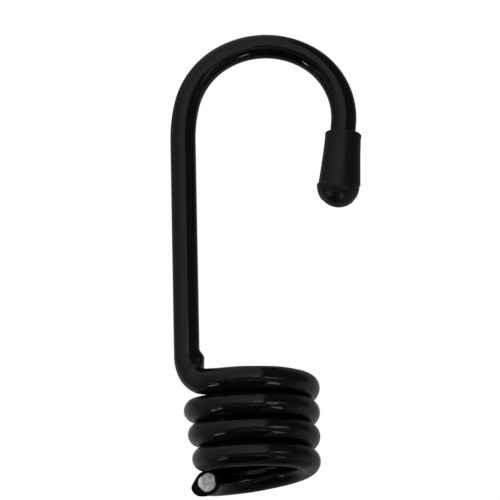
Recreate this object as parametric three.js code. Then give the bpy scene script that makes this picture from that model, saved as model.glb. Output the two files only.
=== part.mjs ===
// A spiral wire hook for elastic cord. One length of coated steel wire makes an open hook and
// a straight shank, turns sharply and winds into a close, tapered coil that holds the cord.
// A soft cap is pushed over the hook's tip.
//
// Lengths are in millimetres and +Z is up. The hook lies in the XZ plane with its shank on
// the -X side. The origin is the point inside the crown that bears on a rail.

import * as THREE from "three";

const DEGREE = Math.PI / 180;

// Driving sizes

const wire = {
  steelDiameter: 3.0,
  boreClearance: 0.1, // all round the steel, inside the coating
  shankCoatThickness: 0.54,
  crownCoatThickness: 0.42, // the coating is drawn thin over the crown
  coilCoatThickness: 0.47, // and pressed thinner where the turns lie together
};

const hook = {
  crownRadius: 13.6, // all bend radii are to the wire's centreline
  shoulderRadius: 12.3, // between the crown and the shank
  easeRadius: 24, // where the shoulder runs out into the shank
  noseRadius: 11.5, // between the crown and the tip
  crownToShankAngle: 30 * DEGREE,
  shoulderAngle: 46 * DEGREE,
  crownToTipAngle: 31 * DEGREE,
  tipLeanAngle: 5.8 * DEGREE, // past vertical, towards the shank
  shankLength: 35.1,
};

const coil = {
  bendRadius: 4.7, // from the shank into the first turn
  startAngle: 43 * DEGREE, // round the coil's axis, from the -X side towards the -Y side
  startRadius: 9.16,
  radiusLostPerTurn: 0.32, // which makes the taper
  pitch: 3.88,
  turnCount: 3.88,
  tiltAngle: 4.1 * DEGREE, // of the axis, its lower end away from the shank
  endSpring: 0.5, // the cut end stands out from the taper by this much
  endSpringAngle: 120 * DEGREE,
};

const cap = {
  wireShownLength: 1.65, // straight wire between the nose bend and the cap's mouth
  length: 12.2,
  mouthRadius: 2.85,
  rimRadius: 0.35,
  bodyEndRadius: 3.28,
  ballRadius: 3.37,
  endWall: 2.4,
  wireClearance: 0.15,
};

// Section of the wire: round, with a flat above and below where the turns lie together.
// The angles are from the direction that points away from the coil's axis.
const sectionAngles = [0, 30, 60, 120, 150, 180, 210, 240, 300, 330].map((angle) => angle * DEGREE);

const archStep = 9 * DEGREE; // at most, between two sections of the hook
const bendStep = 10 * DEGREE;
const sectionsPerTurn = 24;
const shankSections = 4;
const capSides = 28;
const ballSteps = 8;
const rimSteps = 3;

// Materials

const steel = new THREE.MeshStandardMaterial({ color: 0x9a9792, metalness: 1, roughness: 0.45 });
const coating = new THREE.MeshStandardMaterial({ color: 0x161616, metalness: 0, roughness: 0.22 });
const rubber = new THREE.MeshStandardMaterial({ color: 0x1c1c1c, metalness: 0, roughness: 0.7 });

// A station is a place on the wire's centreline: its point, the direction in which the wire
// runs there from tip to cut end, the direction of the section's first corner, and the
// coating's thickness.
function station(point, along, corner, coat) {
  const square = corner.clone().addScaledVector(along, -corner.dot(along)).normalize();
  return { point, along, corner: square, coat };
}

// Stations of one half of the hook, from the top of the crown outwards. The side is -1
// towards the shank and 1 towards the tip. Each arc starts where the one before it ends.
function hookHalf(side, arcs) {
  const crownTop = wire.steelDiameter / 2 + wire.crownCoatThickness;
  const stations = [hookStation(side, 0, crownTop, 0)];
  let from = 0;
  for (const arc of arcs) {
    const { x, z } = stations.at(-1).point;
    const steps = Math.ceil(arc.turn / archStep);
    for (let step = 1; step <= steps; step += 1) {
      const turned = from + (arc.turn * step) / steps;
      const away = arc.radius * (Math.sin(turned) - Math.sin(from));
      const down = arc.radius * (Math.cos(from) - Math.cos(turned));
      stations.push(hookStation(side, x + side * away, z - down, turned));
    }
    from += arc.turn;
  }
  return stations;
}

function hookStation(side, x, z, turned) {
  const along = new THREE.Vector3(-Math.cos(turned), 0, side * Math.sin(turned));
  const outward = new THREE.Vector3(side * Math.sin(turned), 0, Math.cos(turned));
  const corner = outward.multiplyScalar(Math.cos(coil.startAngle));
  corner.y = -Math.sin(coil.startAngle);
  const thinning = Math.cos(turned) ** 2;
  const coat = THREE.MathUtils.lerp(wire.shankCoatThickness, wire.crownCoatThickness, thinning);
  return station(new THREE.Vector3(x, 0, z), along, corner, coat);
}

// Stations along a straight run that leaves an end station.
function straightRun(start, direction, length, count) {
  const stations = [];
  for (let step = 1; step <= count; step += 1) {
    const point = start.point.clone().addScaledVector(direction, (length * step) / count);
    stations.push(station(point, start.along, start.corner, start.coat));
  }
  return stations;
}

// The coil's own axes: up its axis, away from the shank, and to the back.
const coilUp = new THREE.Vector3(-Math.sin(coil.tiltAngle), 0, Math.cos(coil.tiltAngle));
const coilAway = new THREE.Vector3(Math.cos(coil.tiltAngle), 0, Math.sin(coil.tiltAngle));
const coilBack = new THREE.Vector3(0, 1, 0);
const coilEndAngle = coil.startAngle + coil.turnCount * 2 * Math.PI;

// How far the end has sprung out at an angle, and how fast it does so.
function springAt(angle) {
  const from = coilEndAngle - coil.endSpringAngle;
  const gone = Math.max(0, (angle - from) / coil.endSpringAngle);
  return { out: coil.endSpring * gone ** 2, rate: (2 * coil.endSpring * gone) / coil.endSpringAngle };
}

// A place on the coil at an angle round it, from the point on its axis level with its start.
function coilPlace(angle) {
  const turns = (angle - coil.startAngle) / (2 * Math.PI);
  const spring = springAt(angle);
  const radius = coil.startRadius - coil.radiusLostPerTurn * turns + spring.out;
  const radiusRate = spring.rate - coil.radiusLostPerTurn / (2 * Math.PI);
  const outward = coilAway.clone().multiplyScalar(-Math.cos(angle));
  outward.addScaledVector(coilBack, -Math.sin(angle));
  const round = coilAway.clone().multiplyScalar(Math.sin(angle));
  round.addScaledVector(coilBack, -Math.cos(angle));
  const offset = outward.clone().multiplyScalar(radius).addScaledVector(coilUp, -coil.pitch * turns);
  const along = round.multiplyScalar(radius).addScaledVector(outward, radiusRate);
  along.addScaledVector(coilUp, -coil.pitch / (2 * Math.PI)).normalize();
  return { offset, along, outward };
}

// The sharp bend from the end of the shank to the start of the coil.
function bendStations(shankEnd) {
  const first = coilPlace(coil.startAngle);
  const turn = shankEnd.along.angleTo(first.along);
  const inward = first.along.clone().addScaledVector(shankEnd.along, -Math.cos(turn)).normalize();
  const steps = Math.ceil(turn / bendStep);
  const stations = [];
  for (let step = 1; step <= steps; step += 1) {
    const turned = (turn * step) / steps;
    const point = shankEnd.point.clone();
    point.addScaledVector(inward, coil.bendRadius * (1 - Math.cos(turned)));
    point.addScaledVector(shankEnd.along, coil.bendRadius * Math.sin(turned));
    const along = shankEnd.along.clone().multiplyScalar(Math.cos(turned));
    along.addScaledVector(inward, Math.sin(turned));
    const coat = THREE.MathUtils.lerp(wire.shankCoatThickness, wire.coilCoatThickness, step / steps);
    stations.push(station(point, along, first.outward, coat));
  }
  return stations;
}

function coilStations(bendEnd) {
  const axisPoint = bendEnd.point.clone().sub(coilPlace(coil.startAngle).offset);
  const steps = Math.round(coil.turnCount * sectionsPerTurn);
  const stations = [];
  for (let step = 1; step <= steps; step += 1) {
    const place = coilPlace(coil.startAngle + (coil.turnCount * 2 * Math.PI * step) / steps);
    const point = axisPoint.clone().add(place.offset);
    stations.push(station(point, place.along, place.outward, wire.coilCoatThickness));
  }
  return stations;
}

// The whole centreline, from the tip inside the cap to the cut end of the coil.
function wirePath() {
  const towardsTip = hookHalf(1, [
    { radius: hook.crownRadius, turn: hook.crownToTipAngle },
    { radius: hook.noseRadius, turn: Math.PI / 2 + hook.tipLeanAngle - hook.crownToTipAngle },
  ]);
  const noseEnd = towardsTip.at(-1);
  const tipDirection = noseEnd.along.clone().negate();
  const towardsShank = hookHalf(-1, [
    { radius: hook.crownRadius, turn: hook.crownToShankAngle },
    { radius: hook.shoulderRadius, turn: hook.shoulderAngle },
    { radius: hook.easeRadius, turn: Math.PI / 2 - hook.crownToShankAngle - hook.shoulderAngle },
  ]);
  const shankStart = towardsShank.at(-1);
  const shank = straightRun(shankStart, shankStart.along, hook.shankLength, shankSections);
  const bend = bendStations(shank.at(-1));
  const turns = coilStations(bend.at(-1));
  const boreDepth = cap.length - cap.endWall;
  const tip = straightRun(noseEnd, tipDirection, cap.wireShownLength + boreDepth - cap.wireClearance, 1);
  const hookStations = [...tip, ...towardsTip.reverse(), ...towardsShank.slice(1)];
  return { stations: [...hookStations, ...shank, ...bend, ...turns], turns, noseEnd, tipDirection };
}

// The section's corners at a station.
function ringAt(place, radius) {
  const across = place.along.clone().cross(place.corner);
  return sectionAngles.map((angle) =>
    place.point
      .clone()
      .addScaledVector(place.corner, radius * Math.cos(angle))
      .addScaledVector(across, radius * Math.sin(angle)),
  );
}

// A geometry from rings of corners, each joined to the next. A looped skin joins the last
// ring to the first, and any other is closed by a flat face at each end.
function skin(rings, looped) {
  const corners = sectionAngles.length;
  const points = rings.flat();
  const triangles = [];
  const bands = looped ? rings.length : rings.length - 1;
  for (let band = 0; band < bands; band += 1) {
    const here = band * corners;
    const next = ((band + 1) % rings.length) * corners;
    for (let corner = 0; corner < corners; corner += 1) {
      const beside = (corner + 1) % corners;
      triangles.push(here + corner, here + beside, next + beside);
      triangles.push(here + corner, next + beside, next + corner);
    }
  }
  if (!looped) {
    const lastRing = (rings.length - 1) * corners;
    for (let corner = 1; corner < corners - 1; corner += 1) {
      triangles.push(0, corner + 1, corner);
      triangles.push(lastRing, lastRing + corner, lastRing + corner + 1);
    }
  }
  const geometry = new THREE.BufferGeometry().setFromPoints(points);
  geometry.setIndex(triangles);
  geometry.computeVertexNormals();
  return geometry;
}

function named(name, geometry, material) {
  const mesh = new THREE.Mesh(geometry, material);
  mesh.name = name;
  return mesh;
}

function steelWire(stations) {
  const rings = stations.map((place) => ringAt(place, wire.steelDiameter / 2));
  return named("steel_wire", skin(rings, false), steel);
}

const outerRadius = (place) => wire.steelDiameter / 2 + place.coat;

function plasticCoating(stations) {
  const boreRadius = wire.steelDiameter / 2 + wire.boreClearance;
  const outside = stations.map((place) => ringAt(place, outerRadius(place)));
  const bore = stations.map((place) => ringAt(place, boreRadius)).reverse();
  return named("plastic_coating", skin([...outside, ...bore], true), coating);
}

// The cap's profile runs from its end up the outside, over the rim and down the bore. Its
// mouth is level with the lathe's origin.
function capProfile() {
  const boreRadius = wire.steelDiameter / 2 + wire.shankCoatThickness + cap.wireClearance;
  const boreEnd = cap.endWall - cap.length;
  const ballCentre = cap.ballRadius - cap.length;
  const profile = [];
  for (let step = 0; step <= ballSteps; step += 1) {
    const angle = ((Math.PI / 2) * step) / ballSteps;
    const height = ballCentre - cap.ballRadius * Math.cos(angle);
    profile.push(new THREE.Vector2(cap.ballRadius * Math.sin(angle), height));
  }
  profile.push(new THREE.Vector2(cap.bodyEndRadius, ballCentre + cap.ballRadius - cap.bodyEndRadius));
  for (let step = 0; step <= rimSteps; step += 1) {
    const angle = ((Math.PI / 2) * step) / rimSteps;
    const out = cap.mouthRadius - cap.rimRadius * (1 - Math.cos(angle));
    profile.push(new THREE.Vector2(out, cap.rimRadius * (Math.sin(angle) - 1)));
  }
  profile.push(new THREE.Vector2(boreRadius, 0));
  profile.push(new THREE.Vector2(boreRadius, boreEnd));
  profile.push(new THREE.Vector2(0, boreEnd));
  return profile;
}

function tipCap(noseEnd, tipDirection) {
  const mesh = named("tip_cap", new THREE.LatheGeometry(capProfile(), capSides), rubber);
  mesh.position.copy(noseEnd.point).addScaledVector(tipDirection, cap.wireShownLength);
  mesh.quaternion.setFromUnitVectors(new THREE.Vector3(0, 1, 0), tipDirection.clone().negate());
  return mesh;
}

// The least distance from the coating's corners on one turn to its faces on the next.
function leastGap(turns) {
  const rings = turns.map((place) => ringAt(place, outerRadius(place)));
  const corners = sectionAngles.length;
  const face = new THREE.Triangle();
  const nearest = new THREE.Vector3();
  let least = Infinity;
  const measure = (point, a, b, c) => {
    face.set(a, b, c).closestPointToPoint(point, nearest);
    least = Math.min(least, nearest.distanceTo(point));
  };
  for (let first = 0; first < rings.length; first += 1) {
    const last = Math.min(rings.length - 1, first + 2 * sectionsPerTurn);
    for (let other = first + sectionsPerTurn / 2; other < last; other += 1) {
      const here = rings[other];
      const next = rings[other + 1];
      for (let corner = 0; corner < corners; corner += 1) {
        const beside = (corner + 1) % corners;
        for (const point of rings[first]) {
          measure(point, here[corner], here[beside], next[beside]);
          measure(point, here[corner], next[beside], next[corner]);
        }
      }
    }
  }
  return least;
}

const path = wirePath();
console.log(`least gap of the coil to itself: ${leastGap(path.turns).toFixed(2)} mm`);

const part = new THREE.Group();
part.add(steelWire(path.stations));
part.add(plasticCoating(path.stations));
part.add(tipCap(path.noseEnd, path.tipDirection));

export default part;
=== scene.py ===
# A hook for elastic cord: one plastic-coated steel wire, bent into an open hook and wound into
# a close coil that grips the cord, with a soft cap pushed over its tip.

import math
from collections import namedtuple

import bpy
import numpy as np
from mathutils import Matrix, Vector, noise


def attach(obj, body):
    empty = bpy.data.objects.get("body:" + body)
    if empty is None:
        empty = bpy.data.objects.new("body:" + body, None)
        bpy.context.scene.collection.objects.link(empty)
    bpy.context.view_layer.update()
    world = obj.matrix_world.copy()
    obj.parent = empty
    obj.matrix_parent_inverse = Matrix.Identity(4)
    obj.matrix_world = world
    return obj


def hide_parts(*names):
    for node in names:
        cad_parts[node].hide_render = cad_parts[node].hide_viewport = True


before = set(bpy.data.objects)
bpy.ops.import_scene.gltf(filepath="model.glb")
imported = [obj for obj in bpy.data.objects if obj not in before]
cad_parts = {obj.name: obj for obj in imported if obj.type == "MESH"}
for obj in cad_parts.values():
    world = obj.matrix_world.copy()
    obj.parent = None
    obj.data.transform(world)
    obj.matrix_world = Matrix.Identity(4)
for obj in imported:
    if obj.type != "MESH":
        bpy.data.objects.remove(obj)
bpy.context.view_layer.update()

# Units: the sizes are in millimetres, as in the part's source, and the meshes in metres.
MM = 0.001
DEGREE = math.pi / 180
TURN = 2 * math.pi
QUARTER_TURN = TURN / 4

# The wire's route, with the sizes of the part's source

STEEL_RADIUS = 1.5
BORE_CLEARANCE = 0.1
SHANK_COAT = 0.54
CROWN_COAT = 0.42
COIL_COAT = 0.47

CROWN_RADIUS = 13.6
SHOULDER_RADIUS = 12.3
EASE_RADIUS = 24
NOSE_RADIUS = 11.5
CROWN_TO_SHANK = 30 * DEGREE
SHOULDER_TURN = 46 * DEGREE
CROWN_TO_TIP = 31 * DEGREE
TIP_LEAN = 5.8 * DEGREE
SHANK_LENGTH = 35.1

BEND_RADIUS = 4.7
COIL_START = 43 * DEGREE
COIL_RADIUS = 9.16
RADIUS_LOST_PER_TURN = 0.32
PITCH = 3.88
TURNS = 3.88
COIL_TILT = 4.1 * DEGREE
END_SPRING = 0.5
SPRING_ANGLE = 120 * DEGREE

WIRE_SHOWN = 1.65
CAP_LENGTH = 12.2
CAP_END_WALL = 2.4
CAP_CLEARANCE = 0.15

# How finely the meshes follow it

ARCH_STEP = 2.5 * DEGREE
BEND_STEP = 2 * DEGREE
COIL_STEP = 2.5 * DEGREE
END_STEP = 0.5 * DEGREE
END_ANGLE = 24 * DEGREE
SHANK_STEP = 0.8
FOLD_STEP = 0.2
FOLD_REACH = 4.0
COAT_SIDES = 60
STEEL_SIDES = 48

COIL_UP = np.array([-math.sin(COIL_TILT), 0, math.cos(COIL_TILT)])
COIL_AWAY = np.array([math.cos(COIL_TILT), 0, math.sin(COIL_TILT)])
COIL_BACK = np.array([0, 1, 0])
COIL_END = COIL_START + TURNS * TURN

# A place on the centreline: its point, its direction, where the section's angles start, the
# coating's thickness and, in the coil, how far round it is
Station = namedtuple("Station", "point along corner coat angle")
NO_ANGLE = -1.0

# Keeps a whole number of steps from being rounded up to one more
ROUNDING = 1e-9


def unit(vector):
    return vector / np.linalg.norm(vector)


def between(first, last, share):
    return first + (last - first) * share


def smooth(share):
    """A smooth step from 0 to 1 as the share goes from 0 to 1."""
    share = np.clip(share, 0, 1)
    return share * share * (3 - 2 * share)


def steps_between(first, last, step):
    """Evenly spaced values after first, up to last, no further apart than step."""
    count = max(1, math.ceil(abs(last - first) / step - ROUNDING))
    return [between(first, last, number / count) for number in range(1, count + 1)]


def station(point, along, corner, coat, angle=NO_ANGLE):
    """A place on the centreline, with its corner turned square to its direction."""
    return Station(point, along, unit(corner - along * np.dot(corner, along)), coat, angle)


def hook_station(side, x, z, turned):
    """A place on the hook's arcs, on side 1 or -1, turned so far from the crown's top."""
    along = np.array([-math.cos(turned), 0, side * math.sin(turned)])
    outward = np.array([side * math.sin(turned), 0, math.cos(turned)])
    corner = outward * math.cos(COIL_START) - COIL_BACK * math.sin(COIL_START)
    coat = between(SHANK_COAT, CROWN_COAT, math.cos(turned) ** 2)
    return station(np.array([x, 0, z]), along, corner, coat)


def hook_half(side, arcs):
    """Stations from the crown's top outwards, to the tip for side 1 or to the shank for -1."""
    stations = [hook_station(side, 0, STEEL_RADIUS + CROWN_COAT, 0)]
    start = 0
    for radius, turn in arcs:
        x, _, z = stations[-1].point
        for turned in steps_between(start, start + turn, ARCH_STEP):
            away = radius * (math.sin(turned) - math.sin(start))
            down = radius * (math.cos(start) - math.cos(turned))
            stations.append(hook_station(side, x + side * away, z - down, turned))
        start += turn
    return stations


def straight_run(start, direction, lengths):
    return [
        station(start.point + direction * length, start.along, start.corner, start.coat)
        for length in lengths
    ]


def coil_place(angle):
    """The offset from the coil's axis, the direction and the way outward at an angle."""
    turns = (angle - COIL_START) / TURN
    sprung = max(0, (angle - COIL_END + SPRING_ANGLE) / SPRING_ANGLE)
    radius = COIL_RADIUS - RADIUS_LOST_PER_TURN * turns + END_SPRING * sprung**2
    widening = 2 * END_SPRING * sprung / SPRING_ANGLE - RADIUS_LOST_PER_TURN / TURN
    outward = -math.cos(angle) * COIL_AWAY - math.sin(angle) * COIL_BACK
    circling = math.sin(angle) * COIL_AWAY - math.cos(angle) * COIL_BACK
    offset = radius * outward - PITCH * turns * COIL_UP
    along = unit(radius * circling + widening * outward - PITCH / TURN * COIL_UP)
    return offset, along, outward


def bend_stations(shank_end):
    """The sharp bend, from straight down the shank to round the coil."""
    _, coil_along, outward = coil_place(COIL_START)
    turn = math.acos(np.dot(shank_end.along, coil_along))
    inward = unit(coil_along - shank_end.along * math.cos(turn))
    stations = []
    for turned in steps_between(0, turn, BEND_STEP):
        sideways = inward * BEND_RADIUS * (1 - math.cos(turned))
        point = shank_end.point + sideways + shank_end.along * BEND_RADIUS * math.sin(turned)
        along = shank_end.along * math.cos(turned) + inward * math.sin(turned)
        coat = between(SHANK_COAT, COIL_COAT, turned / turn)
        stations.append(station(point, along, outward, coat))
    return stations


def coil_stations(bend_end):
    axis_point = bend_end.point - coil_place(COIL_START)[0]
    angles = steps_between(COIL_START, COIL_END - END_ANGLE, COIL_STEP)
    angles += steps_between(COIL_END - END_ANGLE, COIL_END, END_STEP)
    stations = []
    for angle in angles:
        offset, along, outward = coil_place(angle)
        stations.append(station(axis_point + offset, along, outward, COIL_COAT, angle))
    return stations


def wire_route():
    """Every station from the tip to the cut end, with the nose's end and the shank's end."""
    to_tip = hook_half(
        1, [(CROWN_RADIUS, CROWN_TO_TIP), (NOSE_RADIUS, QUARTER_TURN + TIP_LEAN - CROWN_TO_TIP)]
    )
    to_shank = hook_half(
        -1,
        [
            (CROWN_RADIUS, CROWN_TO_SHANK),
            (SHOULDER_RADIUS, SHOULDER_TURN),
            (EASE_RADIUS, QUARTER_TURN - CROWN_TO_SHANK - SHOULDER_TURN),
        ],
    )
    nose_end = to_tip[-1]
    tip_length = WIRE_SHOWN + CAP_LENGTH - CAP_END_WALL - CAP_CLEARANCE
    tip = straight_run(nose_end, -nose_end.along, steps_between(0, tip_length, SHANK_STEP))
    lengths = steps_between(0, SHANK_LENGTH - FOLD_REACH, SHANK_STEP)
    lengths += steps_between(SHANK_LENGTH - FOLD_REACH, SHANK_LENGTH, FOLD_STEP)
    shank = straight_run(to_shank[-1], to_shank[-1].along, lengths)
    bend = bend_stations(shank[-1])
    coil = coil_stations(bend[-1])
    stations = [*reversed(tip), *reversed(to_tip), *to_shank[1:], *shank, *bend, *coil]
    return stations, nose_end, shank[-1]


STATIONS, NOSE_END, SHANK_END = wire_route()
POINTS = np.array([place.point for place in STATIONS])
ALONG = np.array([place.along for place in STATIONS])
CORNER = np.array([place.corner for place in STATIONS])
ACROSS = np.cross(ALONG, CORNER)
COATS = np.array([place.coat for place in STATIONS])
ANGLES = np.array([place.angle for place in STATIONS])

# How far along the wire each station is, from the tip and back from the cut
RUN = np.concatenate([[0], np.cumsum(np.linalg.norm(np.diff(POINTS, axis=0), axis=1))])
WIRE_LENGTH = RUN[-1]
TO_CUT = WIRE_LENGTH - RUN
SHANK_END_RUN = next(run for run, place in zip(RUN, STATIONS) if place is SHANK_END)

# Section shapes. Section angles are from the way outward, and a quarter turn is down.

LEAST_FACING = 0.2


def ring_angles(sides):
    return np.arange(sides) * TURN / sides


def angle_from(angles, middle):
    """How far each angle is from the middle one, from minus to plus half a turn."""
    return (angles - middle + TURN / 2) % TURN - TURN / 2


def hump(distance, width):
    return np.exp(-((distance / width) ** 2))


def soft_min(first, second, softness):
    """The smaller of the two, with a rounded corner where they cross."""
    share = np.clip(0.5 + 0.5 * (second - first) / softness, 0, 1)
    return second + (first - second) * share - softness * share * (1 - share)


def straight_cut(angles, middle, distance):
    """The radii of a straight side at a distance from the section's centre."""
    return distance / np.maximum(np.cos(angle_from(angles, middle)), LEAST_FACING)


# The cut end. The cutter has pushed the wire's end in and up a little, sheared the coating
# off at one side and squeezed it out into a lip at the other.

PUSH_IN = 0.2
PUSH_UP = 0.15
PUSH_REACH = 4.0
LIP_ANGLE = 31 * DEGREE
LIP_WIDTH = 56 * DEGREE
LIP_HEIGHT = 0.95
LIP_REACH = 3.2
SQUEEZED_RADIUS = 1.74
SQUEEZE_REACH = 1.5
SHEAR_ANGLE = -35 * DEGREE
SHEAR_DISTANCE = 1.83
SHEAR_SOFTNESS = 0.25


def push_at(to_cut):
    """How far the cutter has pushed the wire aside, as a vector for each distance to the cut."""
    share = 1 - smooth(np.asarray(to_cut) / PUSH_REACH)
    return share[..., None] * (-PUSH_IN * CORNER[-1] - PUSH_UP * ACROSS[-1])


def crushed_radii(angles, to_cut, whole):
    """The coating's radii near the cut, where whole is its radius further up the wire."""
    squeezed = 1 - smooth(to_cut / SQUEEZE_REACH)
    lipped = 1 - smooth(to_cut / LIP_REACH)
    radii = between(whole, SQUEEZED_RADIUS, squeezed)
    radii = radii + LIP_HEIGHT * lipped**2 * hump(angle_from(angles, LIP_ANGLE), LIP_WIDTH)
    side = straight_cut(angles, SHEAR_ANGLE, SHEAR_DISTANCE)
    return between(radii, soft_min(radii, side, SHEAR_SOFTNESS), lipped)


# The steel's own outline at the cut: flats, each with the angle that it faces and its distance
# from the centre, and a corner between two of them
STEEL_FLATS = (
    (180 * DEGREE, 1.33),
    (-58 * DEGREE, 1.22),
    (-8 * DEGREE, 1.38),
    (40 * DEGREE, 1.33),
)
STEEL_CORNER_ANGLE = -140 * DEGREE
STEEL_CORNER_WIDTH = 30 * DEGREE
STEEL_CORNER_HEIGHT = 0.16
STEEL_REACH = 1.4
STEEL_SOFTNESS = 0.12


def steel_radii(angles, to_cut):
    """The steel's radii, which are round but for the last stretch before the cut."""
    corner = hump(angle_from(angles, STEEL_CORNER_ANGLE), STEEL_CORNER_WIDTH)
    radii = STEEL_RADIUS + STEEL_CORNER_HEIGHT * corner
    for angle, distance in STEEL_FLATS:
        radii = soft_min(radii, straight_cut(angles, angle, distance), STEEL_SOFTNESS)
    return between(STEEL_RADIUS, radii, 1 - smooth(to_cut / STEEL_REACH))


# The fold of coating inside the sharp bend, placed along the wire from the shank's end. The
# shares say over which part of the fold's length a ridge grows to its full height.

FOLD_START = -1.2
FOLD_FULL = 0.3
FOLD_EASES = 0.5
FOLD_END = 5.0

Ridge = namedtuple("Ridge", "height angle drift width start_share full_share")
FOLD_RIDGES = (
    Ridge(0.74, -128 * DEGREE, -14 * DEGREE, 28 * DEGREE, -1.0, 0.0),
    Ridge(0.3, -112 * DEGREE, 4 * DEGREE, 7 * DEGREE, 0.15, 0.4),
    Ridge(-0.2, -94 * DEGREE, 0, 8 * DEGREE, -0.2, 0.5),
)

# Past the fold, the coating stays a little thicker on top of the wire
BUNCHED_HEIGHT = 0.22
BUNCHED_PLACE = 6.2
BUNCHED_LENGTH = 2.6
BUNCHED_ANGLE = -95 * DEGREE
BUNCHED_WIDTH = 50 * DEGREE


def fold_height(angles, past_shank):
    rising = smooth((past_shank - FOLD_START) / (FOLD_FULL - FOLD_START))
    falling = 1 - smooth((past_shank - FOLD_EASES) / (FOLD_END - FOLD_EASES))
    share = (past_shank - FOLD_START) / (FOLD_END - FOLD_START)
    height = 0
    for ridge in FOLD_RIDGES:
        grown = smooth((share - ridge.start_share) / (ridge.full_share - ridge.start_share))
        away = angle_from(angles, ridge.angle + ridge.drift * share)
        height = height + ridge.height * grown * hump(away, ridge.width)
    bunched = BUNCHED_HEIGHT * hump(past_shank - BUNCHED_PLACE, BUNCHED_LENGTH)
    bunched = bunched * hump(angle_from(angles, BUNCHED_ANGLE), BUNCHED_WIDTH)
    return rising * falling * height + bunched


# Ripples in the coating, which is smooth on the shank and drawn unevenly round the coil

RIPPLE_HEIGHT = 0.006
COIL_RIPPLE_HEIGHT = 0.05
RIPPLE_GROWTH = 8.775
RIPPLE_LENGTH = 4.5
RIPPLE_WIDTH = 1.6


def ripple(run, angles):
    """Ripple heights over a grid of places along the wire and angles round it."""
    rising = smooth((run - SHANK_END_RUN) / RIPPLE_GROWTH)
    heights = np.zeros((len(run), len(angles)))
    for row, length in enumerate(run):
        most = between(RIPPLE_HEIGHT, COIL_RIPPLE_HEIGHT, rising[row])
        for column, angle in enumerate(angles):
            over = Vector((math.cos(angle), math.sin(angle))) * STEEL_RADIUS / RIPPLE_WIDTH
            heights[row, column] = most * noise.noise((length / RIPPLE_LENGTH, *over))
    return heights


# Meshes

SHARP_ANGLE = 50 * DEGREE


def grid_mesh(name, rings, looped, places, second=None):
    """A mesh of rings of points in millimetres. A looped one joins its last ring to its first.

    The faces marked in second, band by band, get the mesh's second material.
    """
    count, sides = rings.shape[:2]
    faces = []
    for band in range(count if looped else count - 1):
        here = band * sides
        after = (band + 1) % count * sides
        for side in range(sides):
            beside = (side + 1) % sides
            faces.append((here + side, here + beside, after + beside, after + side))
    if not looped:
        faces.append(tuple(reversed(range(sides))))
        faces.append(tuple(range((count - 1) * sides, count * sides)))
    mesh = bpy.data.meshes.new(name)
    mesh.from_pydata((rings.reshape(-1, 3) * MM).tolist(), [], faces)
    attribute = mesh.attributes.new("wire_place", "FLOAT_VECTOR", "POINT")
    attribute.data.foreach_set("vector", places.reshape(-1).astype(np.float32))
    mesh.polygons.foreach_set("use_smooth", [True] * len(mesh.polygons))
    if second is not None:
        mesh.polygons.foreach_set("material_index", second.reshape(-1).astype(np.int32))
    mesh.set_sharp_from_angle(angle=SHARP_ANGLE)
    mesh.update()
    piece = bpy.data.objects.new(name, mesh)
    bpy.context.scene.collection.objects.link(piece)
    return piece


def section_rings(rows, radii):
    """Section points in millimetres at these stations, with a radius for each side."""
    angles = ring_angles(radii.shape[1])
    out = (radii * np.cos(angles))[..., None] * CORNER[rows][:, None]
    over = (radii * np.sin(angles))[..., None] * ACROSS[rows][:, None]
    return (POINTS[rows] + push_at(TO_CUT[rows]))[:, None] + out + over


def end_ring(radii, depths):
    """Section points at the cut end, each at a depth below the cut."""
    angles = ring_angles(len(radii))
    out = (radii * np.cos(angles))[:, None] * CORNER[-1]
    over = (radii * np.sin(angles))[:, None] * ACROSS[-1]
    below = np.broadcast_to(depths, len(radii))[:, None] * ALONG[-1]
    return (POINTS[-1] + push_at(0) + out + over - below)[None]


def face_grain(radii, height, size, layer):
    """The fine unevenness of a ring of a cut face, from one layer of the noise."""
    angles = ring_angles(len(radii))
    out = radii * np.cos(angles) / size
    over = radii * np.sin(angles) / size
    return height * np.array([noise.noise((x, y, layer)) for x, y in zip(out, over)])


def wire_places(run, radii):
    """Where each point is along and round the wire, for the materials' patterns."""
    angles = ring_angles(radii.shape[1])
    along = np.repeat(run[:, None], radii.shape[1], axis=1)
    return np.stack([along, radii * np.cos(angles), radii * np.sin(angles)], axis=-1)


# The coating, from its outside over the cut face and back up its bore

TURN_HALF_HEIGHT = 1.93
TOUCH_FADE = 20 * DEGREE
BORE_SINK = 0.06
BORE_PLAY = 0.03

# The cut face's rings: shares of the way from the brim in to the steel, and depths
FACE_RINGS = ((0.0, 0.22), (0.05, 0.09), (0.14, 0.02), (0.3, 0.0))
FACE_ROUGHNESS = 0.035
FACE_GRAIN = 0.5
FACE_LAYER = 0

# How far up from the cut the coating is torn, and at which angle it is torn further
TORN_REACH = 0.9
TORN_FURTHER = 1.0
TORN_ANGLE = 150 * DEGREE
TORN_WIDTH = 50 * DEGREE


def pressed_flat(rings, rows):
    """The rings with a flat pressed on them wherever a turn lies above or below."""
    centres = POINTS[rows] + push_at(TO_CUT[rows])
    height = (rings - centres[:, None]) @ COIL_UP
    angles = ANGLES[rows]
    above = smooth((angles - COIL_START - TURN) / TOUCH_FADE)
    below = smooth((COIL_END - TURN - angles) / TOUCH_FADE)
    below = np.where(angles < COIL_START, 0, below)
    excess = above[:, None] * np.maximum(height - TURN_HALF_HEIGHT, 0)
    excess = excess + below[:, None] * np.minimum(height + TURN_HALF_HEIGHT, 0)
    return rings - excess[..., None] * COIL_UP


def coating_face(brim, hole):
    """The rings of the coating's cut face, from its brim to the hole in it, and their radii."""
    radii = [between(brim, hole, share) for share, _ in FACE_RINGS]
    rings = []
    for ring_radii, (_, depth) in zip(radii, FACE_RINGS):
        grain = face_grain(ring_radii, FACE_ROUGHNESS, FACE_GRAIN, FACE_LAYER)
        rings.append(end_ring(ring_radii, depth + grain))
    return [*rings, end_ring(hole, BORE_SINK)], [*radii, hole]


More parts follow.
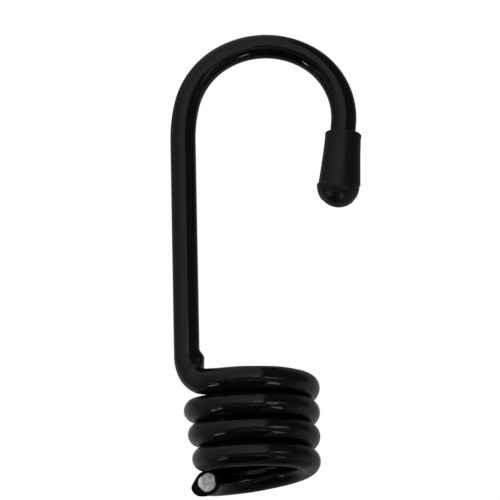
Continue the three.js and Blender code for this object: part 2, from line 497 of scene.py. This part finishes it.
def make_coating():
    angles = ring_angles(COAT_SIDES)
    rows = np.flatnonzero(TO_CUT > FACE_RINGS[0][1])
    run = RUN[rows]
    to_cut = TO_CUT[rows][:, None]
    at_cut = np.zeros(COAT_SIDES)

    whole = STEEL_RADIUS + COATS[rows][:, None] + ripple(run, angles)
    whole = whole + fold_height(angles, (run - SHANK_END_RUN)[:, None])
    outer_radii = crushed_radii(angles, to_cut, whole)
    outside = pressed_flat(section_rings(rows, outer_radii), rows)

    brim = crushed_radii(angles, at_cut, whole[-1])
    hole = steel_radii(angles, at_cut) + BORE_PLAY
    face, face_radii = coating_face(brim, hole)

    near_cut = 1 - smooth(to_cut / STEEL_REACH)
    bore_radii = between(
        STEEL_RADIUS + BORE_CLEARANCE, steel_radii(angles, to_cut) + BORE_PLAY, near_cut
    )
    bore = section_rings(rows, bore_radii)

    rings = np.concatenate([outside, *face, bore[::-1]])
    ring_runs = np.concatenate([run, np.full(len(face), WIRE_LENGTH), run[::-1]])
    radii = np.concatenate([outer_radii, face_radii, bore_radii[::-1]])
    torn_reach = TORN_REACH + TORN_FURTHER * hump(angle_from(angles, TORN_ANGLE), TORN_WIDTH)
    torn = [
        to_cut < torn_reach,
        np.full((len(face) - 1, COAT_SIDES), True),
        np.full((len(rows) + 1, COAT_SIDES), False),
    ]
    return grid_mesh("coating", rings, True, wire_places(ring_runs, radii), np.concatenate(torn))


# The steel, with the face of its cut end: a rim, then even rings in to the centre. Each ring
# is a share of the outline, with its depth. The face rolls away at its outward side.

STEEL_RIM = ((1.0, 0.1), (0.97, 0.04), (0.92, 0.01))
STEEL_INNER_SHARE = 0.84
STEEL_INNER_RINGS = 7
STEEL_CENTRE_SHARE = 0.03
ROLLED_DEPTH = 0.12
ROLLED_WIDTH = 0.6
STEEL_ROUGHNESS = 0.03
STEEL_GRAIN = 0.35
STEEL_LAYER = 3


def make_steel():
    angles = ring_angles(STEEL_SIDES)
    rows = np.flatnonzero(TO_CUT > STEEL_RIM[0][1])
    shaft_radii = steel_radii(angles, TO_CUT[rows][:, None])
    brim = steel_radii(angles, np.zeros(STEEL_SIDES))
    inner = [
        (STEEL_INNER_SHARE * (1 - ring / STEEL_INNER_RINGS), 0)
        for ring in range(STEEL_INNER_RINGS)
    ]
    face_radii = []
    face = []
    for share, depth in (*STEEL_RIM, *inner, (STEEL_CENTRE_SHARE, 0)):
        radii = brim * share
        outward = radii * np.cos(angles)
        rolled = ROLLED_DEPTH * smooth((outward - STEEL_RADIUS + ROLLED_WIDTH) / ROLLED_WIDTH)
        grain = face_grain(radii, STEEL_ROUGHNESS, STEEL_GRAIN, STEEL_LAYER)
        face_radii.append(radii)
        face.append(end_ring(radii, depth + rolled + grain))
    rings = np.concatenate([section_rings(rows, shaft_radii), *face])
    ring_runs = np.concatenate([RUN[rows], np.full(len(face), WIRE_LENGTH)])
    places = wire_places(ring_runs, np.concatenate([shaft_radii, face_radii]))
    return grid_mesh("steel", rings, False, places)


# The cap on the tip. Heights are from its mouth towards its end.

CAP_SIDES = 96
CAP_MOUTH_RADIUS = 2.92
CAP_RIM_RADIUS = 0.4
CAP_WAIST_RADIUS = 2.88
CAP_BODY_END_RADIUS = 3.37
CAP_TAPER_POWER = 1.3
CAP_BODY_LENGTH = 8.4
CAP_BALL_RADIUS = 3.41
RIM_STEPS = 8
BODY_STEPS = 28
BALL_STEPS = 26

# The mould line, where the ball stands out from the body, is a small step that leans down in
# front, and the body and the ball are slightly off centre to either side of it
CAP_STEP_LENGTH = 0.3
CAP_STEP_RINGS = 4
CAP_STEP_LEAN = 0.4
CAP_LEAN_REACH = 1.2
CAP_BALL_OFFSET = 0.1
CAP_BODY_OFFSET = -0.09
CAP_UNEVENNESS = 0.012
CAP_UNEVEN_LENGTH = 3.0

# The bore flares at the mouth, and its end closes to a small ring
CAP_BORE_RADIUS = STEEL_RADIUS + SHANK_COAT + CAP_CLEARANCE
CAP_BORE_LENGTH = CAP_LENGTH - CAP_END_WALL
CAP_FLARE_WIDTH = 0.08
CAP_FLARE_LENGTH = 0.05
CAP_BORE_CLOSE_SHARE = 0.02

CAP_DOWN = -NOSE_END.along
CAP_FRONT = -COIL_BACK
CAP_LEFT = np.cross(CAP_DOWN, CAP_FRONT)
CAP_MOUTH = NOSE_END.point + CAP_DOWN * WIRE_SHOWN


def cap_profile():
    """Heights and radii from the cap's end up its outside, over the rim and down the bore."""
    profile = []
    ball_centre = CAP_LENGTH - CAP_BALL_RADIUS
    for step in range(1, BALL_STEPS + 1):
        angle = QUARTER_TURN * step / BALL_STEPS
        height = ball_centre + CAP_BALL_RADIUS * math.cos(angle)
        profile.append((height, CAP_BALL_RADIUS * math.sin(angle)))
    ball_start = CAP_BODY_LENGTH + CAP_STEP_LENGTH
    profile.append(((ball_centre + ball_start) / 2, CAP_BALL_RADIUS))
    for step in range(CAP_STEP_RINGS + 1):
        share = 1 - step / CAP_STEP_RINGS
        radius = between(CAP_BODY_END_RADIUS, CAP_BALL_RADIUS, smooth(share))
        profile.append((CAP_BODY_LENGTH + CAP_STEP_LENGTH * share, radius))
    for step in range(1, BODY_STEPS + 1):
        share = 1 - step / BODY_STEPS
        height = between(CAP_RIM_RADIUS * 2, CAP_BODY_LENGTH, share)
        radius = between(CAP_WAIST_RADIUS, CAP_BODY_END_RADIUS, share**CAP_TAPER_POWER)
        profile.append((height, radius))
    for step in range(RIM_STEPS + 1):
        angle = QUARTER_TURN * step / RIM_STEPS
        radius = CAP_MOUTH_RADIUS - CAP_RIM_RADIUS * (1 - math.cos(angle))
        profile.append((CAP_RIM_RADIUS * (1 - math.sin(angle)), radius))
    profile.append((0, CAP_BORE_RADIUS + CAP_FLARE_WIDTH))
    profile.append((CAP_FLARE_LENGTH, CAP_BORE_RADIUS))
    profile.append((CAP_BORE_LENGTH, CAP_BORE_RADIUS))
    profile.append((CAP_BORE_LENGTH, CAP_BORE_RADIUS * CAP_BORE_CLOSE_SHARE))
    return profile


def cap_ring(height, radius):
    """A ring of the cap. The bore's rings and the ball's smallest ones stay on its axis."""
    angles = ring_angles(CAP_SIDES)
    circle = np.cos(angles)[:, None] * CAP_LEFT + np.sin(angles)[:, None] * CAP_FRONT
    ring = CAP_MOUTH + CAP_DOWN * height + radius * circle
    if radius < CAP_WAIST_RADIUS - CAP_RIM_RADIUS:
        return ring
    past_step = smooth((height - CAP_BODY_LENGTH) / CAP_STEP_LENGTH)
    offset = between(CAP_BODY_OFFSET, CAP_BALL_OFFSET, past_step)
    lean = CAP_STEP_LEAN * hump(height - CAP_BODY_LENGTH, CAP_LEAN_REACH)
    return ring + CAP_LEFT * offset + (lean * np.sin(angles))[:, None] * CAP_DOWN


def made_uneven(rings):
    """The rings with the slight unevenness of soft plastic, which fades towards the axis."""
    heights = ((rings - CAP_MOUTH) @ CAP_DOWN)[..., None]
    out = rings - CAP_MOUTH - heights * CAP_DOWN
    far = np.linalg.norm(out, axis=-1)
    uneven = [[noise.noise(Vector(point) / CAP_UNEVEN_LENGTH) for point in ring] for ring in rings]
    uneven = CAP_UNEVENNESS * np.array(uneven) * smooth(far / STEEL_RADIUS)
    return rings + out / far[..., None] * uneven[..., None]


def make_cap():
    rings = made_uneven(np.array([cap_ring(height, radius) for height, radius in cap_profile()]))
    places = (rings - CAP_MOUTH) @ np.stack([CAP_DOWN, CAP_LEFT, CAP_FRONT], axis=-1)
    return grid_mesh("cap", rings, False, places)


# The camera, at the photograph's viewing angle, below the hook's middle and looking up at it

CAMERA_PLACE = Vector((-2.941, -486.114, -131.752)) * MM
CAMERA_RISE = 11.6506 * DEGREE
CAMERA_ROLL = -1.2526 * DEGREE
CAMERA_LENS = 224.51


def add_camera():
    data = bpy.data.cameras.new("camera")
    data.lens = CAMERA_LENS
    camera = bpy.data.objects.new("camera", data)
    tilt = Matrix.Rotation(QUARTER_TURN + CAMERA_RISE, 4, "X")
    roll = Matrix.Rotation(CAMERA_ROLL, 4, "Z")
    camera.matrix_world = Matrix.Translation(CAMERA_PLACE) @ tilt @ roll
    bpy.context.scene.collection.objects.link(camera)
    bpy.context.scene.camera = camera


# Materials. Their patterns are sized in millimetres along and across the wire.

# The values between which a pattern's noise mostly stays
PATTERN_RANGE = (0.3, 0.7)


def grey(level, warmth=0.0):
    return (level * (1 + warmth), level, level * (1 - warmth), 1.0)


class Nodes:
    """A short way to write a node tree: each call adds a node and returns its output."""

    def __init__(self, tree):
        self.tree = tree

    def add(self, kind, inputs=(), output=0, **settings):
        node = self.tree.nodes.new("ShaderNode" + kind)
        for name, value in settings.items():
            setattr(node, name, value)
        for name, value in dict(inputs).items():
            self.connect(node.inputs[name], value)
        return node.outputs[output]

    def connect(self, socket, value):
        if isinstance(value, bpy.types.NodeSocket):
            self.tree.links.new(value, socket)
        elif value is not None:
            socket.default_value = value

    def math(self, operation, first, second=None):
        return self.add("Math", {0: first, 1: second}, operation=operation)

    def product(self, first, second):
        return self.math("MULTIPLY", first, second)

    def part(self, vector, axis):
        return self.add("SeparateXYZ", {0: vector}, output=axis)

    def span(self, value, low, high, to_low=0.0, to_high=1.0):
        """A smooth step between two values as the input goes from low to high."""
        inputs = {
            "Value": value,
            "From Min": low,
            "From Max": high,
            "To Min": to_low,
            "To Max": to_high,
        }
        return self.add("MapRange", inputs, interpolation_type="SMOOTHSTEP")

    def mix(self, share, first, second):
        return self.add("Mix", {0: share, 2: first, 3: second}, data_type="FLOAT")

    def blend(self, share, first, second):
        return self.add("Mix", {0: share, 6: first, 7: second}, output=2, data_type="RGBA")

    def pattern(self, place, along, across, detail=2.0):
        """Noise whose patches are so long along the wire and so wide across it."""
        sizes = (1 / along, 1 / across, 1 / across)
        stretched = self.add("VectorMath", {0: place, 1: sizes}, operation="MULTIPLY")
        inputs = {"Vector": stretched, "Scale": 1.0, "Detail": detail}
        return self.add("TexNoise", inputs, output="Fac")

    def shades(self, pattern, low, high, warmth=0.0):
        return self.blend(pattern, grey(low, warmth), grey(high, warmth))

    def varied(self, pattern, low, high):
        return self.span(pattern, *PATTERN_RANGE, low, high)

    def bump(self, height, distance, normal=None):
        inputs = {"Height": height, "Distance": distance * MM, "Strength": 1.0, "Normal": normal}
        return self.add("Bump", inputs)


def new_material(name):
    """A material with its nodes, its shader and the place on the piece that patterns use."""
    material = bpy.data.materials.new(name)
    material.use_nodes = True
    nodes = Nodes(material.node_tree)
    place = nodes.add("Attribute", output="Vector", attribute_name="wire_place")
    return material, nodes, material.node_tree.nodes["Principled BSDF"].inputs, place


# The black plastic coating: glossy, with lines drawn along it, orange peel, and on the coil
# waves and a fine ruffle. Its gloss wears off slowly towards the cut end.

COATING_SHADES = (0.0007, 0.0013)
COATING_ROUGHNESS = (0.05, 0.08)
COATING_IOR = 1.5
WORN_ALONG = (130.0, 290.0)
WORN_ROUGHNESS = 0.07
SMEAR_LENGTH = 6.0
SMEAR_WIDTH = 2.0
DRAG_LENGTH = 9.0
DRAG_WIDTH = 0.22
DRAG_HEIGHT = 0.0025
PEEL_LENGTH = 1.1
PEEL_WIDTH = 0.7
PEEL_HEIGHT = 0.006
RUFFLE_LENGTH = 1.6
RUFFLE_WIDTH = 0.5
RUFFLE_HEIGHT = 0.018
WAVE_LENGTH = 5.5
WAVE_WIDTH = 0.65
WAVE_HEIGHT = 0.055
WAVE_GROWTH = 9.4

# A scuff from the cutter, on the underside of the turn above the cut end: between which
# distances back from the cut it comes and goes, and how far below the wire's centre
SCUFF_START = (52.0, 50.0)
SCUFF_END = (44.0, 41.0)
SCUFF_BELOW = (0.9, 1.5)
SCUFF_ROUGHNESS = 0.4


def coating_roughness(nodes, place, smear):
    along = nodes.part(place, "X")
    start = [WIRE_LENGTH - to_cut for to_cut in SCUFF_START]
    end = [WIRE_LENGTH - to_cut for to_cut in SCUFF_END]
    scuff = nodes.product(nodes.span(along, *start), nodes.span(along, *end, 1.0, 0.0))
    below = nodes.span(nodes.part(place, "Z"), *SCUFF_BELOW, 0.0, SCUFF_ROUGHNESS)
    worn = nodes.span(along, *WORN_ALONG, 0.0, WORN_ROUGHNESS)
    roughness = nodes.math("ADD", nodes.varied(smear, *COATING_ROUGHNESS), worn)
    return nodes.math("ADD", roughness, nodes.product(scuff, below))


def coating_normal(nodes, place):
    on_coil = nodes.span(nodes.part(place, "X"), SHANK_END_RUN, SHANK_END_RUN + WAVE_GROWTH)
    wave = nodes.product(nodes.pattern(place, WAVE_LENGTH, WAVE_WIDTH), on_coil)
    ruffle = nodes.product(nodes.pattern(place, RUFFLE_LENGTH, RUFFLE_WIDTH), on_coil)
    drag = nodes.pattern(place, DRAG_LENGTH, DRAG_WIDTH)
    peel = nodes.pattern(place, PEEL_LENGTH, PEEL_WIDTH, detail=1.0)
    normal = nodes.bump(wave, WAVE_HEIGHT)
    normal = nodes.bump(ruffle, RUFFLE_HEIGHT, normal)
    normal = nodes.bump(drag, DRAG_HEIGHT, normal)
    return nodes.bump(peel, PEEL_HEIGHT, normal)


def coating_material():
    material, nodes, shader, place = new_material("coating")
    smear = nodes.pattern(place, SMEAR_LENGTH, SMEAR_WIDTH)
    nodes.connect(shader["Base Color"], nodes.shades(smear, *COATING_SHADES))
    nodes.connect(shader["Roughness"], coating_roughness(nodes, place, smear))
    shader["IOR"].default_value = COATING_IOR
    nodes.connect(shader["Normal"], coating_normal(nodes, place))
    return material


# The torn face of the coating at the cut end, dull and rough

TORN_SHADES = (0.0006, 0.004)
TORN_ROUGHNESS = (0.6, 0.9)
TORN_SHINE = 0.1
TORN_SIZE = 0.25
TORN_HEIGHT = 0.05


def torn_material():
    material, nodes, shader, place = new_material("torn_coating")
    grain = nodes.pattern(place, TORN_SIZE, TORN_SIZE)
    nodes.connect(shader["Base Color"], nodes.shades(grain, *TORN_SHADES))
    nodes.connect(shader["Roughness"], nodes.varied(grain, *TORN_ROUGHNESS))
    shader["IOR"].default_value = COATING_IOR
    shader["Specular IOR Level"].default_value = TORN_SHINE
    nodes.connect(shader["Normal"], nodes.bump(grain, TORN_HEIGHT))
    return material


# The sheared steel: bare, pale and mottled, with a fine grit. Where the distance outward from
# its centre, less the mottle, is large, a lighter colour gives a painted highlight on its rolled
# edge

STEEL_SHADES = (0.54, 0.82)
STEEL_WARMTH = 0.03
STEEL_METAL = 0.7
STEEL_DULLNESS = (0.42, 0.6)
# Where the painted highlight on the rolled edge starts and becomes full, and its colour
PAINTED_HIGHLIGHT_FROM = (0.1, 0.4)
PAINTED_HIGHLIGHT_SHADE = 0.98
MOTTLE_SIZE = 0.55
MOTTLE_RANGE = (0.35, 0.65)
GRIT_SIZE = 0.12
GRIT_HEIGHT = 0.012


def steel_material():
    material, nodes, shader, place = new_material("steel")
    mottle = nodes.pattern(place, MOTTLE_SIZE, MOTTLE_SIZE)
    grit = nodes.pattern(place, GRIT_SIZE, GRIT_SIZE)
    shade = nodes.shades(nodes.span(mottle, *MOTTLE_RANGE), *STEEL_SHADES, STEEL_WARMTH)
    outward = nodes.math("SUBTRACT", nodes.part(place, "Y"), mottle)
    # Painted highlight: the lighter colour on the outward, rolled edge stands in for the light it
    # catches
    painted_highlight = nodes.span(outward, *PAINTED_HIGHLIGHT_FROM)
    shade = nodes.blend(painted_highlight, shade, grey(PAINTED_HIGHLIGHT_SHADE, STEEL_WARMTH))
    nodes.connect(shader["Base Color"], shade)
    shader["Metallic"].default_value = STEEL_METAL
    nodes.connect(shader["Roughness"], nodes.varied(grit, *STEEL_DULLNESS))
    nodes.connect(shader["Normal"], nodes.bump(grit, GRIT_HEIGHT, nodes.bump(mottle, GRIT_HEIGHT)))
    return material


# The cap's soft plastic: duller than the coating, with a fine moulded grain

CAP_SHADES = (0.0012, 0.0024)
CAP_ROUGHNESS = (0.33, 0.4)
CAP_GRAIN_SIZE = 0.16
CAP_GRAIN_HEIGHT = 0.0025
CAP_WEAR_SIZE = 2.5


def cap_material():
    material, nodes, shader, place = new_material("cap")
    wear = nodes.pattern(place, CAP_WEAR_SIZE, CAP_WEAR_SIZE)
    grain = nodes.pattern(place, CAP_GRAIN_SIZE, CAP_GRAIN_SIZE)
    nodes.connect(shader["Base Color"], nodes.shades(wear, *CAP_SHADES))
    nodes.connect(shader["Roughness"], nodes.varied(wear, *CAP_ROUGHNESS))
    shader["IOR"].default_value = COATING_IOR
    nodes.connect(shader["Normal"], nodes.bump(grain, CAP_GRAIN_HEIGHT))
    return material


# The studio that the gloss reflects. Azimuths are in degrees from the camera's side, plus to
# its right, and heights in degrees above level. A light level of 1 is white.

ROOM_LIGHT = 0.165
BACKDROP_HEIGHT = 11
BACKDROP_INNER_ANGLE = 7
BACKDROP_OUTER_ANGLE = 11

# A soft wall of light at the left and above, with its levels away from its brightest place and
# there, and the angles from that place where the brightness is full and where it is gone
WALL_FACING = (-0.947, -0.289, 0.142)
WALL_EDGE = 0.06
WALL_FOOT = (-4.0, 0.0)
WALL_LIGHTS = (0.33, 0.45)
WALL_BEST = (6, 16)
WALL_FULL_ANGLE = 8
WALL_GONE_ANGLE = 50

# Darker and lighter screens, each laid over those before it
Screen = namedtuple("Screen", "azimuth height half_width half_height edge light")
SCREENS_UNDER_WALL = (Screen(62, 35, 50, 42, 14, 0.075),)
SCREENS_OVER_WALL = (
    Screen(-135, 15, 42, 35, 24, 0.18),
    Screen(-74, 8, 17, 24, 16, 0.225),
    Screen(0, -20, 105, 18, 8, 0.115),
    Screen(0, -62, 200, 28, 10, 0.12),
    Screen(105, -20, 18, 16, 12, 0.23),
    Screen(-55, -68, 88, 23, 5, 0.03),
    Screen(-12, -41, 47, 6, 5, 0.03),
    Screen(-48, -34, 12, 11, 5, 0.04),
    Screen(110, -68, 45, 17, 8, 0.06),
    Screen(-78, -13, 24, 10, 8, 0.19),
    Screen(-68, -28, 9, 11, 6, 0.28),
    Screen(10, -27, 13, 7, 5, 0.28),
    Screen(-18, -28, 12, 6, 5, 0.16),
)


def toward(azimuth, height):
    level = math.cos(height * DEGREE)
    across = math.sin(azimuth * DEGREE) * level
    return (across, -math.cos(azimuth * DEGREE) * level, math.sin(height * DEGREE))


def facing(nodes, direction, axis):
    return nodes.add("VectorMath", {0: direction, 1: axis}, output="Value", operation="DOT_PRODUCT")


def near(nodes, direction, axis, inner, outer):
    """1 within the inner angle of an axis, falling to 0 at the outer one."""
    dot = facing(nodes, direction, axis)
    return nodes.span(dot, math.cos(outer * DEGREE), math.cos(inner * DEGREE))


def screen_share(nodes, azimuth, height, screen):
    """1 on the screen and 0 off it, with a soft edge."""
    sides = []
    for angle, middle, half in (
        (azimuth, screen.azimuth, screen.half_width),
        (height, screen.height, screen.half_height),
    ):
        away = nodes.math("ABSOLUTE", nodes.math("SUBTRACT", angle, float(middle)))
        inner = half - screen.edge / 2
        sides.append(nodes.span(away, inner, inner + screen.edge, 1.0, 0.0))
    return nodes.product(*sides)


def studio_light(nodes, direction):
    """The level of the studio's light in a direction."""
    right = facing(nodes, direction, (1, 0, 0))
    front = facing(nodes, direction, (0, -1, 0))
    up = facing(nodes, direction, (0, 0, 1))
    azimuth = nodes.math("DEGREES", nodes.math("ARCTAN2", right, front))
    height = nodes.math("DEGREES", nodes.math("ARCSINE", up))
    light = ROOM_LIGHT
    for screen in SCREENS_UNDER_WALL:
        light = nodes.mix(screen_share(nodes, azimuth, height, screen), light, screen.light)
    wall = nodes.span(facing(nodes, direction, WALL_FACING), -WALL_EDGE, WALL_EDGE)
    wall = nodes.product(wall, nodes.span(height, *WALL_FOOT))
    best = near(nodes, direction, toward(*WALL_BEST), WALL_FULL_ANGLE, WALL_GONE_ANGLE)
    light = nodes.mix(wall, light, nodes.mix(best, *WALL_LIGHTS))
    for screen in SCREENS_OVER_WALL:
        light = nodes.mix(screen_share(nodes, azimuth, height, screen), light, screen.light)
    return light


def add_world():
    """White behind the object for the camera and for reflections, and the studio around it."""
    world = bpy.data.worlds.new("studio")
    world.use_nodes = True
    bpy.context.scene.world = world
    nodes = Nodes(world.node_tree)
    direction = nodes.add("TexCoord", output="Generated")
    seen = nodes.add("LightPath", output="Is Camera Ray")
    glossy = nodes.add("LightPath", output="Is Glossy Ray")
    through = nodes.add("LightPath", output="Is Transmission Ray")
    axis = toward(180, BACKDROP_HEIGHT)
    behind = near(nodes, direction, axis, BACKDROP_INNER_ANGLE, BACKDROP_OUTER_ANGLE)
    reflected = nodes.product(nodes.math("MAXIMUM", glossy, through), behind)
    white = nodes.math("MAXIMUM", seen, reflected)
    strength = nodes.mix(white, studio_light(nodes, direction), 1.0)
    background = world.node_tree.nodes["Background"]
    background.inputs["Color"].default_value = (1, 1, 1, 1)
    nodes.connect(background.inputs["Strength"], strength)


# Lamps. Those close to the part show in its gloss, and the three large ones only light. A
# lamp's light is the level at which a mirror shows it, and a spread below 180 degrees keeps it
# to what is straight ahead, with a soft fall to the sides.

Lamp = namedtuple("Lamp", "name place aim size light spread glossy")
LAMPS = (
    Lamp("left_streak", (-111, -38, -135), (12, 0, -13), (48, 15), 5.5, 36, True),
    Lamp("right_streak", (31, -31, -94), (0, 0, 0), (19, 9), 4.2, 66, True),
    Lamp("level_streak", (113, -126, -64), (0, 0, -59), (130, 23), 2.0, 50, True),
    Lamp("left_glow", (-78, 43, -69), (-57, -13, -69), (114, 72), 0.17, 120, True),
    Lamp("right_glow", (77, 48, -69), (61, -10, -69), (120, 72), 0.1, 130, True),
    Lamp("left_below", (-39, 18, -58), (-39, 18, 0), (50, 60), 0.045, 110, True),
    Lamp("right_below", (39, 18, -58), (39, 18, 0), (50, 60), 0.12, 110, True),
    Lamp("wall_foot", (39, -220, -26), (0, 0, -26), (55, 45), 0.42, 180, True),
    Lamp("key", (-1100, -1400, 930), (0, 0, -33), (1400, 1400), 4.5, 180, False),
    Lamp("fill", (1400, -1000, 560), (0, 0, -33), (1400, 1400), 1.8, 180, False),
    Lamp("back", (400, 1600, 830), (0, 0, -33), (1400, 1400), 2.1, 180, False),
)


def kept_by(spread):
    """The share of a lamp's power that is left when its light is narrowed to a spread."""
    half = spread * DEGREE / 2
    return math.sin(half) ** 2 - (half - math.sin(half) * math.cos(half)) / math.tan(half)


def add_lamp(lamp):
    data = bpy.data.lights.new(lamp.name, "AREA")
    data.shape = "RECTANGLE"
    data.size = lamp.size[0] * MM
    data.size_y = lamp.size[1] * MM
    data.spread = lamp.spread * DEGREE
    data.energy = lamp.light * math.pi * data.size * data.size_y * kept_by(lamp.spread)
    piece = bpy.data.objects.new(lamp.name, data)
    place = Vector(lamp.place) * MM
    turned = (place - Vector(lamp.aim) * MM).to_track_quat("Z", "Y")
    piece.matrix_world = Matrix.Translation(place) @ turned.to_matrix().to_4x4()
    piece.visible_glossy = lamp.glossy
    piece.visible_camera = False
    bpy.context.scene.collection.objects.link(piece)


# The floor, far below the hanging part

FLOOR_HEIGHT = -230
FLOOR_HALF = 2600
FLOOR_SHADES = (0.88, 0.9)
FLOOR_ROUGHNESS = (0.8, 0.9)
FLOOR_GRAIN = 40
SQUARE = ((-1, -1), (1, -1), (1, 1), (-1, 1))


def add_floor():
    mesh = bpy.data.meshes.new("floor")
    corners = [(x * FLOOR_HALF * MM, y * FLOOR_HALF * MM, FLOOR_HEIGHT * MM) for x, y in SQUARE]
    mesh.from_pydata(corners, [], [tuple(range(len(corners)))])
    floor = bpy.data.objects.new("floor", mesh)
    bpy.context.scene.collection.objects.link(floor)
    material, nodes, shader, _ = new_material("floor")
    place = nodes.add("TexCoord", output="Object")
    grain = nodes.pattern(place, FLOOR_GRAIN * MM, FLOOR_GRAIN * MM)
    nodes.connect(shader["Base Color"], nodes.shades(grain, *FLOOR_SHADES))
    nodes.connect(shader["Roughness"], nodes.varied(grain, *FLOOR_ROUGHNESS))
    mesh.materials.append(material)
    floor.visible_glossy = False


coating = make_coating()
steel = make_steel()
cap = make_cap()

for piece, node, slot, material in (
    (coating, "plastic_coating", "coating", coating_material()),
    (steel, "steel_wire", "steel", steel_material()),
    (cap, "tip_cap", "cap", cap_material()),
):
    piece.data.materials.append(material)
    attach(piece, "root")
    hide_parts(node)
coating.data.materials.append(torn_material())

add_camera()
add_world()
for lamp in LAMPS:
    add_lamp(lamp)
add_floor()
bpy.context.scene.view_settings.view_transform = "Standard"
